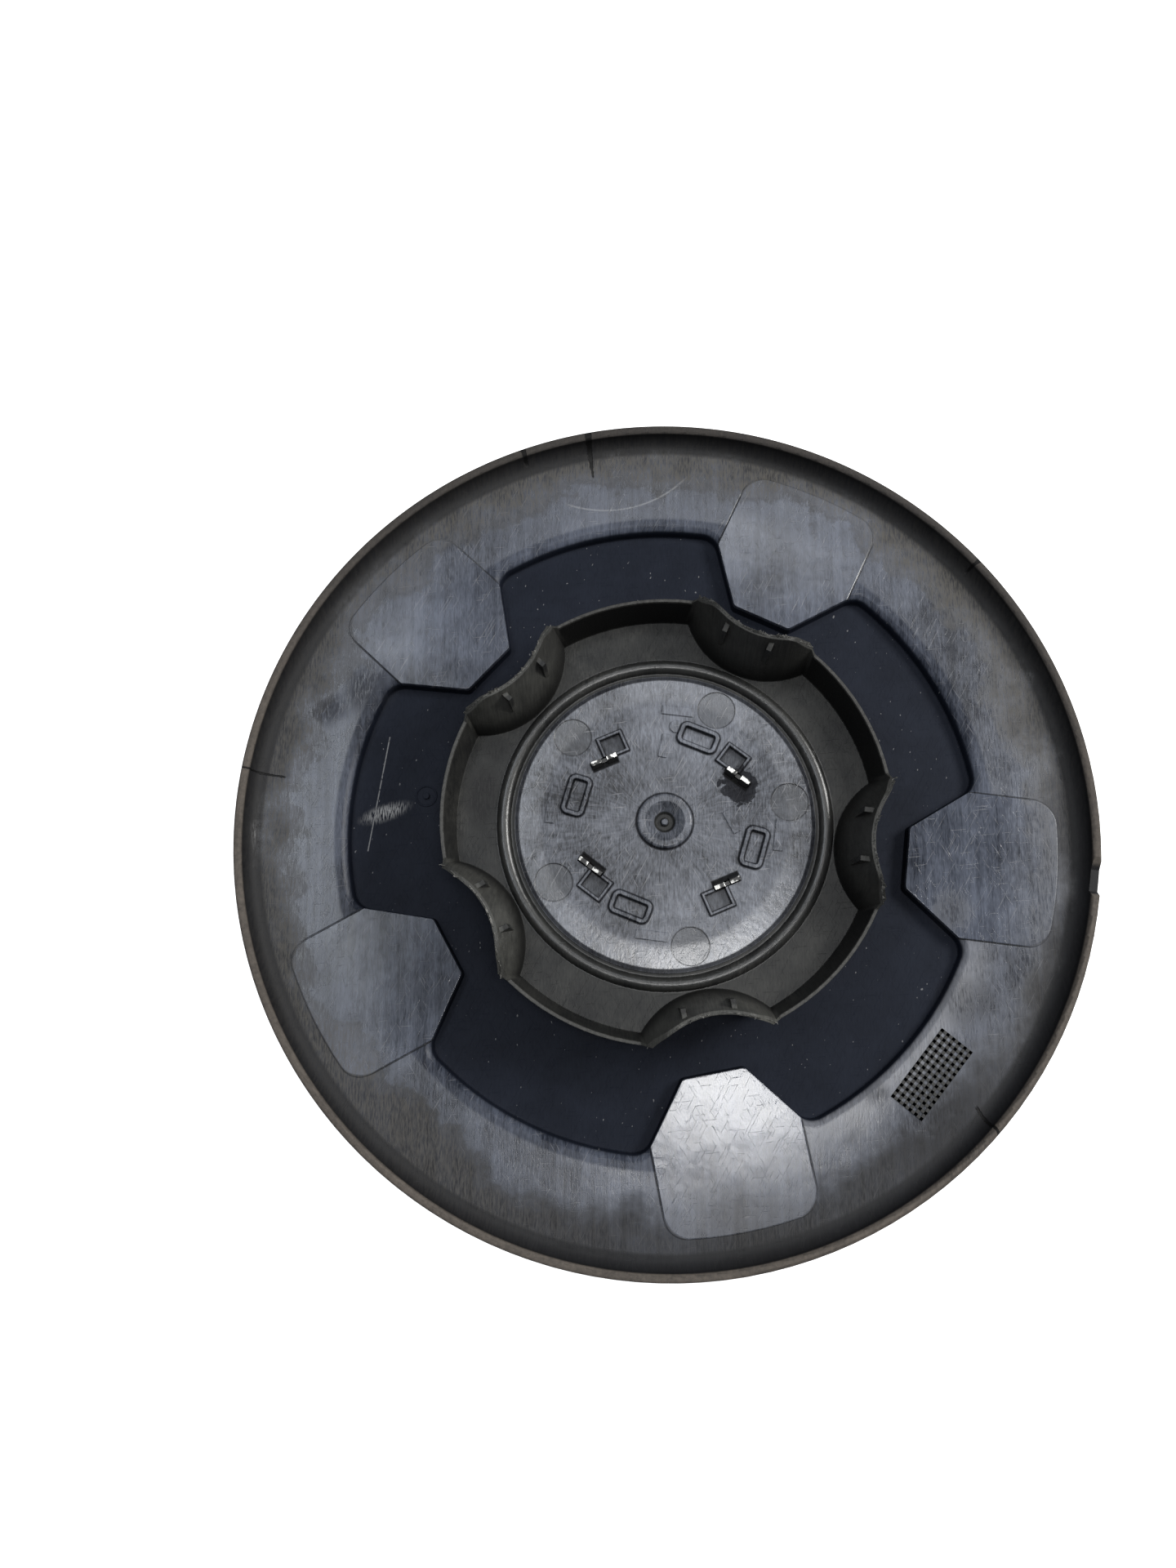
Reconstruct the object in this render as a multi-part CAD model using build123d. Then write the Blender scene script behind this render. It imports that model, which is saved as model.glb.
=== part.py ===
"""Wheel bolt cover: a moulded cap that hides the bolts of a steel wheel.

The cap lies on its face, as it does on a bench: +Z is the axis and points to the wheel side,
Z = 0 is the raised front plateau, and the first bolt scallop is on +X. Sizes are in millimetres.
"""
import os
from math import cos, radians, sin, tan

from build123d import *

# Outer ring and rim
outer_radius = 116.0
ring_face_height = 4.0
ring_wall = 2.5
rim_edge_width = 2.2
rim_edge_round = 0.8
rim_inner_round = 4.2
rim_outer_round = 6.0
rim_straight = 2.0

# Broken place in the rim
chip_length = 10.5
chip_depth = 2.6
chip_slant = 1.6

# Sunken ring, whose front is the raised plateau
plateau_radius = 86.0
plateau_wall = 2.5
plateau_draft = 6.0
notch_count = 5
notch_flat_distance = 66.0
notch_flat_half_width = 8.5
notch_flank_angle = 37.6
notch_inner_round = 1.8
lobe_corner_round = 5.0
lobe_edge_round = 4.0
lobe_edge_low = 2.4
lobe_edge_low_slope = 22.0
lobe_edge_high = 0.9
lobe_edge_high_slope = 58.0

# Witness pads behind the notches
pad_half_width = 20.0
pad_outer_radius = 106.5
pad_corner_round = 6.0
pad_step = 0.3

# Hub: a flared tube with bolt scallops and a floor
hub_radius = 55.2
hub_flare_angle = 12.1
hub_wall = 1.8
lip_wall = 0.8
floor_height = 16.0
floor_wall = 2.5
lip_height = 26.7
scallop_radius = 23.0
scallop_axis_distance = 68.8
scallop_tilt = 17.0

# Spring petals above the lip, and the ribs on them
petal_height = 35.5
petal_edge_wall = 0.7
petal_top_half_width = 11.0
petal_foot_half_width = 17.6
petal_corner_round = 5.0
rib_offset = 6.2
rib_thickness = 1.3
rib_drop = 1.7
rib_length = 9.5
rib_reach = 2.3

# Back of the hub floor
disc_gap = 1.0
disc_step = 0.8
bead_gap = 0.2
bead_width = 3.8
bead_rise = 1.6
gate_radius = 7.4
gate_rise = 1.2
gate_edge_round = 0.9
gate_mouth_radius = 5.3
gate_throat_radius = 2.2
gate_depth = 2.8
gate_nub_radius = 1.2
gate_nub_height = 1.1
ejector_radius = 5.0
ejector_margin = 1.3
ejector_depth = 0.25
ejector_angles = (16.0, 72.0, 144.0, 216.0, 288.0)

# Blank clip frames and blank strips on the disc
frame_length = 11.0
frame_width = 6.3
frame_ridge = 1.25
frame_rise = 1.0
frame_corner_round = 1.9
frame_top_round = 0.4
frame_depth = 0.5
frame_distance = 24.4
frame_angles = (75.0, 170.5, 255.0, 350.5)
strip_length = 8.3
strip_width = 2.4
strip_rise = 0.45
strip_distance = 30.3
strip_angles = (0.0, 90.0, 180.0, 270.0)
side_strip_length = 6.4
side_strip_width = 2.2
side_strips = ((-2.4, 20.4, 85.0), (17.5, 2.1, -55.0))
dot_place = (0.1, 26.0)
dot_radius = 1.7

# Centre insert and its snap hooks
insert_clearance = 1.4
insert_thickness = 3.0
insert_edge_round = 1.2
hook_place = (18.0, 14.4)
hook_turn = 30.0
hook_width = 7.2
hook_thickness = 1.1
hook_clearance = 0.2
hook_rise = 1.6
hook_barb = 0.9
hook_barb_height = 1.3
hook_tip_gap = 1.6
window_place = (16.2, 18.9)
window_length = 7.2
window_width = 6.2
window_ridge = 0.8
window_rise = 0.8
window_depth = 1.0

# Small pin mark in the sunken ring
pin_distance = 66.3
pin_angle = 178.7
pin_ring_radius = 3.0
pin_ring_width = 0.4
pin_ring_rise = 0.25
pin_radius = 0.9
pin_rise = 0.9

# Worked out from the sizes above
ring_back = ring_face_height + ring_wall
rim_height = ring_back + rim_inner_round + rim_straight
rib_top_height = petal_height - rib_drop
scallop_lean = tan(radians(scallop_tilt))
scallop_foot = scallop_axis_distance - scallop_radius / cos(radians(scallop_tilt))
bead_radius = scallop_foot - bead_gap - bead_width / 2
disc_radius = bead_radius - bead_width / 2 - disc_gap
ejector_distance = disc_radius - ejector_margin - ejector_radius
insert_radius = scallop_foot - floor_height * scallop_lean - insert_clearance
floor_underside = floor_height - floor_wall
disc_height = floor_height + disc_step
notch_step = 360 / notch_count
reach = 2 * outer_radius


def around(shape, angles):
    """Copies of a shape turned about the axis."""
    return [Rot(0, 0, angle) * shape for angle in angles]


notch_angles = [notch_step * index for index in range(notch_count)]


def rim_profile():
    """Half section of the flat ring and its upturned rim."""
    inner_edge = outer_radius - rim_edge_width
    inner_centre = inner_edge - rim_inner_round
    inner_start = ring_back + rim_inner_round
    outer_centre = outer_radius - rim_outer_round
    outer_start = ring_face_height + rim_outer_round
    slant = sin(radians(45))
    lines = [
        Line((0, ring_face_height), (0, ring_back)),
        Line((0, ring_back), (inner_centre, ring_back)),
        ThreePointArc(
            (inner_centre, ring_back),
            (inner_centre + rim_inner_round * slant, inner_start - rim_inner_round * slant),
            (inner_edge, inner_start),
        ),
        Line((inner_edge, inner_start), (inner_edge, rim_height)),
        Line((inner_edge, rim_height), (outer_radius, rim_height)),
        Line((outer_radius, rim_height), (outer_radius, outer_start)),
        ThreePointArc(
            (outer_radius, outer_start),
            (outer_centre + rim_outer_round * slant, outer_start - rim_outer_round * slant),
            (outer_centre, ring_face_height),
        ),
        Line((outer_centre, ring_face_height), (0, ring_face_height)),
    ]
    face = make_face(lines)
    corners = [v for v in face.vertices() if v.X > inner_centre and v.Y > rim_height - 0.01]
    return Plane.XZ * fillet(corners, rim_edge_round)


def rim_chip():
    """The piece that is broken out of the rim, on the +X side."""
    half = chip_length / 2
    outline = Polyline(
        (-half, rim_height + chip_depth),
        (-half, rim_height),
        (-half + chip_slant, rim_height - chip_depth),
        (half - 2 * chip_slant, rim_height - 0.8 * chip_depth),
        (half, rim_height),
        (half, rim_height + chip_depth),
        close=True,
    )
    depth = rim_inner_round
    return extrude(Plane.YZ.offset(outer_radius - depth) * make_face(outline), 2 * depth)


def dish():
    """Flat ring with its upturned, chipped rim."""
    return revolve(rim_profile(), Axis.Z) - rim_chip()


def notch(outer):
    """One half-hexagon notch on +X, running out past the plateau's edge."""
    run = outer - notch_flat_distance
    spread = notch_flat_half_width + run * tan(radians(notch_flank_angle))
    return make_face(
        Polyline(
            (notch_flat_distance, -notch_flat_half_width),
            (notch_flat_distance, notch_flat_half_width),
            (outer, spread),
            (outer, -spread),
            close=True,
        )
    )


def plateau_outline(inner_round):
    """Five-lobed outline of the sunken ring, seen from the wheel side."""
    outline = Circle(plateau_radius) - around(notch(plateau_radius + lobe_corner_round), notch_angles)
    middle = (plateau_radius + notch_flat_distance) / 2
    inner = [v for v in outline.vertices() if Vector(v.X, v.Y).length < middle]
    outline = fillet(inner, inner_round)
    outer = [v for v in outline.vertices() if Vector(v.X, v.Y).length > plateau_radius - 0.01]
    return fillet(outer, lobe_corner_round)


def pad():
    """A flat witness pad on +X, a hair above the ring."""
    outline = Circle(pad_outer_radius) & (Pos(pad_outer_radius, 0) * Rectangle(reach, 2 * pad_half_width))
    corners = [v for v in outline.vertices() if v.X > plateau_radius]
    outline = fillet(corners, pad_corner_round)
    return extrude(Pos(0, 0, ring_face_height) * outline, ring_wall + pad_step)


def pin_mark():
    """A low ring with a nub in the middle, on the sunken ring."""
    ring = Circle(pin_ring_radius) - Circle(pin_ring_radius - pin_ring_width)
    mark = extrude(ring, pin_ring_rise) + extrude(Circle(pin_radius), pin_rise)
    return Rot(0, 0, pin_angle) * Pos(pin_distance, 0, plateau_wall) * mark


def tray():
    """The ring with its pads and the sunken five-lobed plateau, whose lobes have soft edges."""
    outline = plateau_outline(notch_inner_round)
    soft = plateau_outline(lobe_edge_round)
    sink = ring_back - plateau_wall + 2 * pad_step
    pocket = extrude(Pos(0, 0, plateau_wall) * outline, sink, taper=-plateau_draft)
    low = extrude(Pos(0, 0, ring_back - lobe_edge_low) * soft, lobe_edge_low, taper=-lobe_edge_low_slope)
    step_out = (lobe_edge_low - lobe_edge_high) * tan(radians(lobe_edge_low_slope))
    wider = Pos(0, 0, ring_back - lobe_edge_high) * offset(soft, step_out)
    high = extrude(wider, lobe_edge_high, taper=-lobe_edge_high_slope)
    front = extrude(offset(outline, plateau_wall), ring_back, taper=-plateau_draft)
    body = dish() + front - pocket - low - high
    for place in around(pad(), notch_angles):
        body = body + (place - pocket)
    return body + pin_mark()


def hub_cavity():
    """Inside of the hub: a flared cone with five leaning round scallops standing into it."""
    flare = tan(radians(hub_flare_angle))
    bottom = hub_radius - floor_height * flare
    top = bottom + petal_height * flare
    plug = Pos(0, 0, petal_height / 2) * Cone(bottom, top, petal_height)
    lean = Pos(scallop_axis_distance, 0, floor_height) * Rot(0, scallop_tilt, 0)
    scallop = lean * Cylinder(scallop_radius, outer_radius)
    return plug - around(scallop, notch_angles)


def hub_outside():
    """Outside of the hub: the same form, grown by a wall that thins towards its edges."""
    inner_lip = hub_radius + (lip_height - floor_height) * tan(radians(hub_flare_angle))
    at_floor = hub_radius + hub_wall
    flare = (inner_lip + lip_wall - at_floor) / (lip_height - floor_height)
    bottom = at_floor - floor_height * flare
    top = bottom + petal_height * flare
    plug = Pos(0, 0, petal_height / 2) * Cone(bottom, top, petal_height)
    rise = (petal_height - floor_height) / cos(radians(scallop_tilt))
    thinning = (hub_wall - petal_edge_wall) / rise * outer_radius / 2
    middle = scallop_radius - hub_wall
    lean = Pos(scallop_axis_distance, 0, floor_height) * Rot(0, scallop_tilt, 0)
    scallop = lean * Cone(middle - thinning, middle + thinning, outer_radius)
    return plug - around(scallop, notch_angles)


def petal_zone():
    """Space in which a spring petal may stand above the lip, on +X."""
    outline = Polyline(
        (-petal_foot_half_width, floor_height),
        (-petal_foot_half_width, lip_height),
        (-petal_top_half_width, petal_height),
        (petal_top_half_width, petal_height),
        (petal_foot_half_width, lip_height),
        (petal_foot_half_width, floor_height),
        close=True,
    )
    face = make_face(outline)
    corners = [v for v in face.vertices() if v.Y > lip_height + 1]
    face = fillet(corners, petal_corner_round)
    return extrude(Plane.YZ.offset(hub_radius / 2) * face, hub_radius)


def petal_rib(side):
    """A wedge-shaped rib on the inner face of the petal on +X."""
    inset = (scallop_radius**2 - rib_offset**2) ** 0.5 / cos(radians(scallop_tilt))
    face_top = scallop_axis_distance + (rib_top_height - floor_height) * scallop_lean - inset
    face_foot = face_top - rib_length * scallop_lean
    root = hub_wall / 2
    outline = Polyline(
        (face_top + root, rib_top_height),
        (face_top - rib_reach, rib_top_height),
        (face_foot, rib_top_height - rib_length),
        (face_foot + root, rib_top_height - rib_length),
        close=True,
    )
    blade = extrude(Plane.XZ * make_face(outline), rib_thickness / 2, both=True)
    return Pos(0, side * rib_offset, 0) * blade


def crown(cavity):
    """The hub tube with its lip, spring petals and ribs."""
    tube = hub_outside() - cavity
    crown_body = tube & Pos(0, 0, lip_height / 2) * Cylinder(outer_radius, lip_height)
    for zone in around(petal_zone(), notch_angles):
        crown_body = crown_body + (tube & zone)
    for side in (-1, 1):
        crown_body = crown_body + around(petal_rib(side), notch_angles)
    return crown_body


def block(length, width, low, high):
    """A plain block standing between two heights."""
    return Pos(0, 0, (low + high) / 2) * Box(length, width, high - low)


def bead():
    """Rounded ring around the disc."""
    half = bead_width / 2
    profile = make_face(
        [
            Line((bead_radius - half, floor_height - 0.5 * floor_wall), (bead_radius - half, floor_height)),
            ThreePointArc(
                (bead_radius - half, floor_height),
                (bead_radius, floor_height + bead_rise),
                (bead_radius + half, floor_height),
            ),
            Line((bead_radius + half, floor_height), (bead_radius + half, floor_height - 0.5 * floor_wall)),
            Line(
                (bead_radius + half, floor_height - 0.5 * floor_wall),
                (bead_radius - half, floor_height - 0.5 * floor_wall),
            ),
        ]
    )
    return revolve(Plane.XZ * profile, Axis.Z)


def frame_outline(inset):
    """Rounded outline of a clip frame, lying across +X, drawn in by an inset."""
    width = frame_width - 2 * inset
    length = frame_length - 2 * inset
    return Pos(frame_distance, 0, disc_height) * RectangleRounded(width, length, frame_corner_round - inset)


def clip_frame():
    """A blank raised frame with a rounded top."""
    ridge = extrude(frame_outline(0) - frame_outline(frame_ridge), frame_rise)
    top = ridge.faces().sort_by(Axis.Z)[-1]
    return fillet(top.edges(), frame_top_round)


def clip_pocket():
    """Shallow pocket inside a clip frame, to be cut from the disc."""
    return extrude(frame_outline(frame_ridge), -frame_depth)


def blank_strip():
    """A blank raised strip, lying across +X."""
    face = Rectangle(strip_width, strip_length)
    return extrude(Pos(strip_distance, 0, disc_height) * face, strip_rise)


def side_marks():
    """Blank strips beside two of the frames, and a small round dot."""
    strip = extrude(Rectangle(side_strip_length, side_strip_width), strip_rise)
    strips = [Pos(x, y, disc_height) * Rot(0, 0, turn) * strip for x, y, turn in side_strips]
    dot = Pos(*dot_place, disc_height + strip_rise / 2) * Cylinder(dot_radius, strip_rise)
    return strips + [dot]


def gate_boss():
    """Low boss around the gate mark."""
    boss = Pos(0, 0, disc_height + gate_rise / 2) * Cylinder(gate_radius, gate_rise)
    edge = boss.edges().filter_by(GeomType.CIRCLE).sort_by(Axis.Z)[-1:]
    return fillet(edge, gate_edge_round)


def gate_mark():
    """Funnel with a nub left by the moulding gate, to be cut from the boss and the disc."""
    low = disc_height + gate_rise - gate_depth
    funnel = Pos(0, 0, low + gate_depth / 2) * Cone(gate_throat_radius, gate_mouth_radius, gate_depth)
    nub = Cone(gate_nub_radius, 0.6 * gate_nub_radius, gate_nub_height)
    return funnel - Pos(0, 0, low + gate_nub_height / 2) * nub


def hook_frames(spot):
    """Four places around the axis, mirrored about X and Y."""
    frames = []
    for x_sign in (1, -1):
        for y_sign in (1, -1):
            turn = -hook_turn * x_sign * y_sign
            frames.append((Pos(x_sign * spot[0], y_sign * spot[1], 0) * Rot(0, 0, turn), y_sign))
    return frames


def hook_slots():
    """Slots for the hooks, to be cut through the disc."""
    low = floor_underside - 1
    high = disc_height + 1
    slot = block(hook_width + 2 * hook_clearance, hook_thickness + 2 * hook_clearance, low, high)
    return [place * slot for place, y_sign in hook_frames(hook_place)]


def window_frames():
    """Raised frames beside the hooks."""
    outer = Rectangle(window_length, window_width)
    inner = Rectangle(window_length - 2 * window_ridge, window_width - 2 * window_ridge)
    frame = extrude(Pos(0, 0, disc_height) * (outer - inner), window_rise)
    return [place * frame for place, y_sign in hook_frames(window_place)]


def window_pockets():
    """Shallow pockets inside those frames, to be cut from the disc."""
    length = window_length - 2 * window_ridge
    width = window_width - 2 * window_ridge
    pocket = block(length, width, disc_height - window_depth, disc_height + window_rise)
    return [place * pocket for place, y_sign in hook_frames(window_place)]


def hub_floor(cavity):
    """Floor of the hub with the disc, bead, frames, strips and gate mark on its back."""
    slab = cavity & block(reach, reach, floor_underside, floor_height)
    disc = Pos(0, 0, (floor_height + disc_height) / 2) * Cylinder(disc_radius, disc_step)
    marks = around(clip_frame(), frame_angles) + around(blank_strip(), strip_angles)
    ejector = Pos(ejector_distance, 0, disc_height) * Cylinder(ejector_radius, 2 * ejector_depth)
    floor = slab + disc + bead() + marks + side_marks() + gate_boss() + window_frames()
    floor = floor - gate_mark() - around(ejector, ejector_angles) - around(clip_pocket(), frame_angles)
    return floor - window_pockets() - hook_slots()


def make_cover():
    """The whole moulding."""
    cavity = hub_cavity()
    return tray() - cavity + crown(cavity) + hub_floor(cavity)


def snap_hook(y_sign):
    """A flat blade with two barbed tips."""
    top = disc_height + hook_rise
    blade = block(hook_width, hook_thickness, floor_underside - insert_thickness / 2, top)
    gap = block(hook_tip_gap, reach, disc_height, top + 1)
    shelf = disc_height + hook_clearance
    inner = -y_sign * hook_thickness / 2
    barb_face = make_face(
        Polyline(
            (inner, shelf),
            (inner - y_sign * hook_barb, shelf),
            (inner, shelf + hook_barb_height),
            close=True,
        )
    )
    barb = extrude(Plane.YZ * barb_face, hook_width / 2, both=True)
    return blade + barb - gap


def make_insert():
    """Plain front disc held by four snap hooks."""
    plate = Pos(0, 0, floor_underside - insert_thickness / 2) * Cylinder(insert_radius, insert_thickness)
    rim = plate.edges().filter_by(GeomType.CIRCLE).sort_by(Axis.Z)[:1]
    plate = fillet(rim, insert_edge_round)
    return plate + [place * snap_hook(y_sign) for place, y_sign in hook_frames(hook_place)]


os.makedirs("parts", exist_ok=True)
export_step(make_cover(), "parts/cover.step")
export_step(make_insert(), "parts/centre_insert.step")
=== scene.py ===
import math
import random
from types import SimpleNamespace

import bpy
from mathutils import Matrix, Vector


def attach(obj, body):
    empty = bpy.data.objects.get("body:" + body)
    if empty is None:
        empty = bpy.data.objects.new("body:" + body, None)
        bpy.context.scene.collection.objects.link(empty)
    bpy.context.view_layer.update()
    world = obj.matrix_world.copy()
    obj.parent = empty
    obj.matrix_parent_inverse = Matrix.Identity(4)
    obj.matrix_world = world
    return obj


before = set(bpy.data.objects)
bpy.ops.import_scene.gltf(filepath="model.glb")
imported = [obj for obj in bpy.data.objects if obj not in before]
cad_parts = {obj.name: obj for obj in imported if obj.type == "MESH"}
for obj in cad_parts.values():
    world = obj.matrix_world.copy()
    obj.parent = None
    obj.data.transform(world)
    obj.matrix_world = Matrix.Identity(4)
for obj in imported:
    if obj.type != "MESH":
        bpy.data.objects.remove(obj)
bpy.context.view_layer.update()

scene = bpy.context.scene
MM = 0.001

# The photograph, in pixels
PHOTO_WIDTH = 1440
PHOTO_HEIGHT = 1920
FOCAL_LENGTH = 1500

# The cover's ring, rim and front, in millimetres
RING_HEIGHT = 6.4
RIM_RADIUS = 109.2
RIM_EDGE_RADIUS = 113.4
RIM_EDGE_HEIGHT = 11.0
FRONT_HEIGHT = 2.3
FRONT_STEP = 1.8
FRONT_STEP_RADIUS = 88.0
LOBE_RADIUS = 87.0
PAD_OUTER_RADIUS = 106.5
PAD_HALF_WIDTH = 20.0
PAD_CORNER = 6.0

# The hub with its leaning bolt pockets and petals, in millimetres
PETAL_COUNT = 5
FIFTH = math.radians(360 / PETAL_COUNT)
HUB_RADIUS = 60.0
HUB_START = 2.55
FLOOR_HEIGHT = 16.0
WALL_RADIUS = 54.0
WALL_FLARE = 0.2
LIP_HEIGHT = 25.9
POCKET_CENTRE = 68.8
POCKET_LEAN = math.radians(17.0)
PETAL_RADIUS = 23.6
PETAL_HEIGHT = 35.5
PETAL_FLAT = 8.5
PETAL_SHOULDER = 12.5
PETAL_SHOULDER_DROP = 2.0
PETAL_SIDE_SLOPE = 8.8 / 6.6

# The disc on the hub floor, in millimetres and degrees
DISC_RADIUS = 39.6
DISC_SEAM_RADIUS = 39.2
BEAD_RADIUS = 42.6
BEAD_HALF_WIDTH = 1.9
BEAD_TOP = 18.0
GATE_RADIUS = 7.55
HOOK_PLACE = (17.6, 13.6)
HOOK_HALF_LENGTH = 3.6
HOOK_HALF_WIDTH = 1.0
HOOK_TURN = -30.0
HOOK_CREST = 18.2
WINDOW_PLACE = (16.2, 18.9)
WINDOW_HALF = (3.6, 3.1)
WINDOW_CORNER = 0.2
CLIP_ANGLES = (75.0, 170.5, 255.0, 350.5)
CLIP_DISTANCE = 24.4
CLIP_HALF = (3.15, 5.5)
CLIP_CORNER = 1.9
PIN_ANGLES = (16.0, 72.0, 144.0, 216.0, 288.0)
PIN_DISTANCE = 33.45
PIN_RADIUS = 4.8

# Directions on the part, in degrees from the pad on +X
STROKE_ANGLE = 97.0
FAR_ANGLE = 84.27
SHADED_ANGLE = 55.0
SHEEN_ANGLE = -42.0

# Colours that are used more than once
BLACK = (0.003, 0.003, 0.003)
SCRATCH_GREY = (0.26, 0.26, 0.27)


class Graph:
    """A small helper that builds a material's node tree."""

    def __init__(self, name):
        self.material = bpy.data.materials.new(name)
        self.material.use_nodes = True
        self.tree = self.material.node_tree
        self.tree.nodes.clear()

    def node(self, kind, **settings):
        made = self.tree.nodes.new(kind)
        for key, value in settings.items():
            setattr(made, key, value)
        return made

    def put(self, socket, value):
        if isinstance(value, bpy.types.NodeSocket):
            self.tree.links.new(value, socket)
        else:
            socket.default_value = value

    def math(self, operation, a, b=0.0, c=0.0):
        made = self.node("ShaderNodeMath", operation=operation)
        for socket, value in zip(made.inputs, (a, b, c)):
            self.put(socket, value)
        return made.outputs[0]

    def add(self, a, b):
        return self.math("ADD", a, b)

    def sub(self, a, b):
        return self.math("SUBTRACT", a, b)

    def mul(self, *values):
        total = values[0]
        for value in values[1:]:
            total = self.math("MULTIPLY", total, value)
        return total

    def top(self, *values):
        total = values[0]
        for value in values[1:]:
            total = self.math("MAXIMUM", total, value)
        return total

    def flip(self, value):
        return self.math("SUBTRACT", 1.0, value)

    def length(self, a, b):
        """Length of a vector with the components a and b."""
        return self.math("SQRT", self.add(self.mul(a, a), self.mul(b, b)))

    def step(self, value, low, high, start=0.0, end=1.0):
        """A smooth change from start to end while value goes from low to high."""
        made = self.node("ShaderNodeMapRange", interpolation_type="SMOOTHSTEP")
        for socket, item in zip(made.inputs, (value, low, high, start, end)):
            self.put(socket, item)
        return made.outputs[0]

    def past(self, value, limit, soft):
        """0 up to the limit and 1 past it, changing over soft."""
        return self.step(value, limit, limit + soft)

    def under(self, value, limit, soft):
        """1 up to the limit and 0 past it, changing over soft."""
        return self.step(value, limit, limit + soft, 1.0, 0.0)

    def band(self, value, middle, half, soft):
        """1 where value is within half of middle, fading over soft."""
        gap = self.math("ABSOLUTE", self.sub(value, middle))
        return self.under(gap, half, soft)

    def vector(self, x, y, z):
        made = self.node("ShaderNodeCombineXYZ")
        for socket, value in zip(made.inputs, (x, y, z)):
            self.put(socket, value)
        return made.outputs[0]

    def noise(self, vector, scale, detail=2.0, rough=0.5):
        made = self.node("ShaderNodeTexNoise")
        self.put(made.inputs["Vector"], vector)
        self.put(made.inputs["Scale"], scale)
        self.put(made.inputs["Detail"], detail)
        self.put(made.inputs["Roughness"], rough)
        return made.outputs["Fac"]

    def mix(self, factor, a, b):
        """Colour a, or b where factor is 1."""
        made = self.node("ShaderNodeMix", data_type="RGBA")
        self.put(made.inputs[0], factor)
        for socket, value in zip((made.inputs[6], made.inputs[7]), (a, b)):
            self.put(socket, (*value, 1.0) if isinstance(value, tuple) else value)
        return made.outputs[2]

    def paint(self, colour, mask, strength, over):
        """A colour with another one laid over it where mask is 1."""
        return self.mix(self.mul(mask, strength), colour, over)

    def blend(self, factor, a, b):
        """Value a, or b where factor is 1."""
        made = self.node("ShaderNodeMix", data_type="FLOAT")
        for socket, value in zip((made.inputs[0], made.inputs[2], made.inputs[3]), (factor, a, b)):
            self.put(socket, value)
        return made.outputs[0]

    def tone(self, middle, *parts):
        """Middle, plus each noise's swing about one half."""
        total = middle
        for noise, swing in parts:
            total = self.add(total, self.mul(self.sub(noise, 0.5), swing))
        return total

    def place(self):
        """Finds the position on the part in millimetres: where, x, y, z, radius and angle."""
        coords = self.node("ShaderNodeTexCoord")
        scaled = self.node("ShaderNodeVectorMath", operation="SCALE")
        self.put(scaled.inputs[0], coords.outputs["Object"])
        self.put(scaled.inputs["Scale"], 1 / MM)
        split = self.node("ShaderNodeSeparateXYZ")
        self.put(split.inputs[0], scaled.outputs[0])
        self.where = scaled.outputs[0]
        self.x, self.y, self.z = split.outputs
        self.radius = self.length(self.x, self.y)
        self.angle = self.math("ARCTAN2", self.y, self.x)

    def fold(self):
        """Finds out and side: the position seen from the middle line of the nearest petal."""
        folded = self.math("WRAP", self.angle, FIFTH / 2, -FIFTH / 2)
        self.out = self.mul(self.radius, self.math("COSINE", folded))
        self.side = self.math("ABSOLUTE", self.mul(self.radius, self.math("SINE", folded)))

    def facing(self, degrees):
        """Cosine of the angle between the position and a direction."""
        return self.math("COSINE", self.sub(self.angle, math.radians(degrees)))

    def turned(self, x, y, degrees):
        """x and y seen in axes turned by an angle."""
        c = math.cos(math.radians(degrees))
        s = math.sin(math.radians(degrees))
        along = self.add(self.mul(x, c), self.mul(y, s))
        across = self.sub(self.mul(y, c), self.mul(x, s))
        return along, across

    def from_point(self, point, degrees):
        """The position seen from a point, in axes turned by an angle."""
        return self.turned(self.sub(self.x, point[0]), self.sub(self.y, point[1]), degrees)

    def from_quarters(self, point, degrees):
        """The position seen from a point that is mirrored into all four quarters."""
        gap_x = self.sub(self.math("ABSOLUTE", self.x), point[0])
        gap_y = self.sub(self.math("ABSOLUTE", self.y), point[1])
        return self.turned(gap_x, gap_y, degrees)

    def boxed(self, x, y, half_x, half_y, corner):
        """Distance to the outline of a rounded rectangle, negative inside it."""
        gap_x = self.sub(self.math("ABSOLUTE", x), half_x - corner)
        gap_y = self.sub(self.math("ABSOLUTE", y), half_y - corner)
        inside = self.math("MINIMUM", self.top(gap_x, gap_y), 0.0)
        outside = self.length(self.top(gap_x, 0.0), self.top(gap_y, 0.0))
        return self.sub(self.add(outside, inside), corner)

    def spot(self, centre, size, soft, degrees=0.0, stretch=1.0):
        """A soft round or oval spot."""
        along, across = self.from_point(centre, degrees)
        return self.under(self.length(self.mul(along, 1 / stretch), across), size, soft)

    def line(self, start, end, half, soft):
        """A straight thin mark from start to end."""
        run_x = end[0] - start[0]
        run_y = end[1] - start[1]
        middle = math.hypot(run_x, run_y) / 2
        along, across = self.from_point(start, math.degrees(math.atan2(run_y, run_x)))
        return self.mul(self.band(across, 0.0, half, soft), self.band(along, middle, middle, soft))

    def strokes(self, degrees, length, width, seed):
        """Short soft strokes along a direction, as noise from 0 to 1."""
        along, across = self.turned(self.x, self.y, degrees)
        stretched = self.vector(self.mul(along, 1 / length), self.mul(across, 1 / width), seed)
        return self.noise(stretched, 1.0, 3.0, 0.6)

    def scratches(self, degrees, length, fineness, rarity, seed):
        """Thin straight scratches along a direction; rarity near 0.7 leaves few of them."""
        along, across = self.turned(self.x, self.y, degrees)
        stretched = self.vector(self.mul(along, 1 / length), self.mul(across, fineness), seed)
        return self.past(self.noise(stretched, 1.0, 1.0), rarity, 0.03)

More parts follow.
